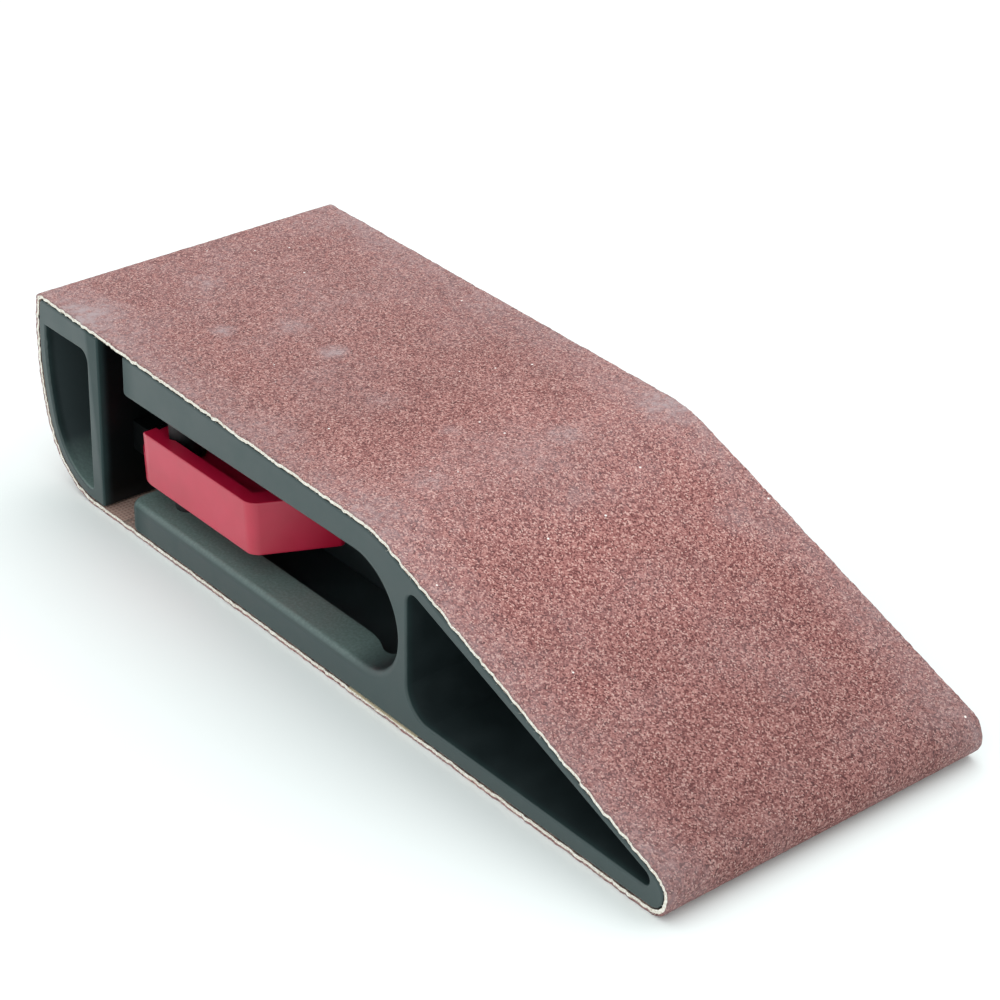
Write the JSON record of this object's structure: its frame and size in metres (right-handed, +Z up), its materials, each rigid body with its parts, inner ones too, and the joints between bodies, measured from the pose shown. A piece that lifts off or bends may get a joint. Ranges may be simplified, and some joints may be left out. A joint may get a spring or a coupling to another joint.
{
  "type": "sanding block",
  "caption": "Wedge-nosed hand sanding block wrapped in an endless abrasive belt, with a sliding heel and a side cam lever that tensions it.",
  "frame": {"origin": "on the floor plane, under the middle of the whole block", "axes": "+X towards the thin nose, -Y towards the lever side, +Z up from the flat sole"},
  "size_m": [0.2094, 0.0762, 0.046],
  "materials": {
    "body_plastic": "matte moulded",
    "lever_plastic": "satin moulded",
    "bronze": "turned",
    "steel": "ground",
    "spring_steel": "drawn wire",
    "spacer_nylon": "matte",
    "abrasive_cloth": "aluminium oxide grit on cloth",
    "splice_tape": "smooth"
  },
  "bodies": {
    "block": {"main_body": "body_plastic", "lever_pivot_pin": "steel", "lower_lever_spacer": "spacer_nylon", "upper_lever_spacer": "spacer_nylon", "heel_retaining_pin": "steel", "take_up_spring": "spring_steel"},
    "heel": {"heel_shoe": "body_plastic", "cam_thrust_plate": "steel"},
    "lever": {"tension_lever": "lever_plastic", "lever_bush": "bronze"},
    "belt": {"sanding_belt": "abrasive_cloth", "belt_splice_tape": "splice_tape"}
  },
  "joints": [
    {"name": "lever_swing", "type": "hinge", "parent": "block", "child": "lever", "pos_m": [-0.0589, -0.029, 0.0198], "axis": [0, 0, -1], "range_deg": [0, 90]},
    {"name": "heel_slide", "type": "slide", "parent": "block", "child": "heel", "axis": [1, 0, 0], "range_m": [0, 0.00601], "deforming": ["take_up_spring"]},
    {"name": "belt_off", "type": "slide", "parent": "block", "child": "belt", "axis": [0, -1, 0], "range_m": [0, 0.085]}
  ],
  "couplings": [
    {"joint": "heel_slide", "follows": "lever_swing", "m_per_rad": 0.0038197}
  ]
}
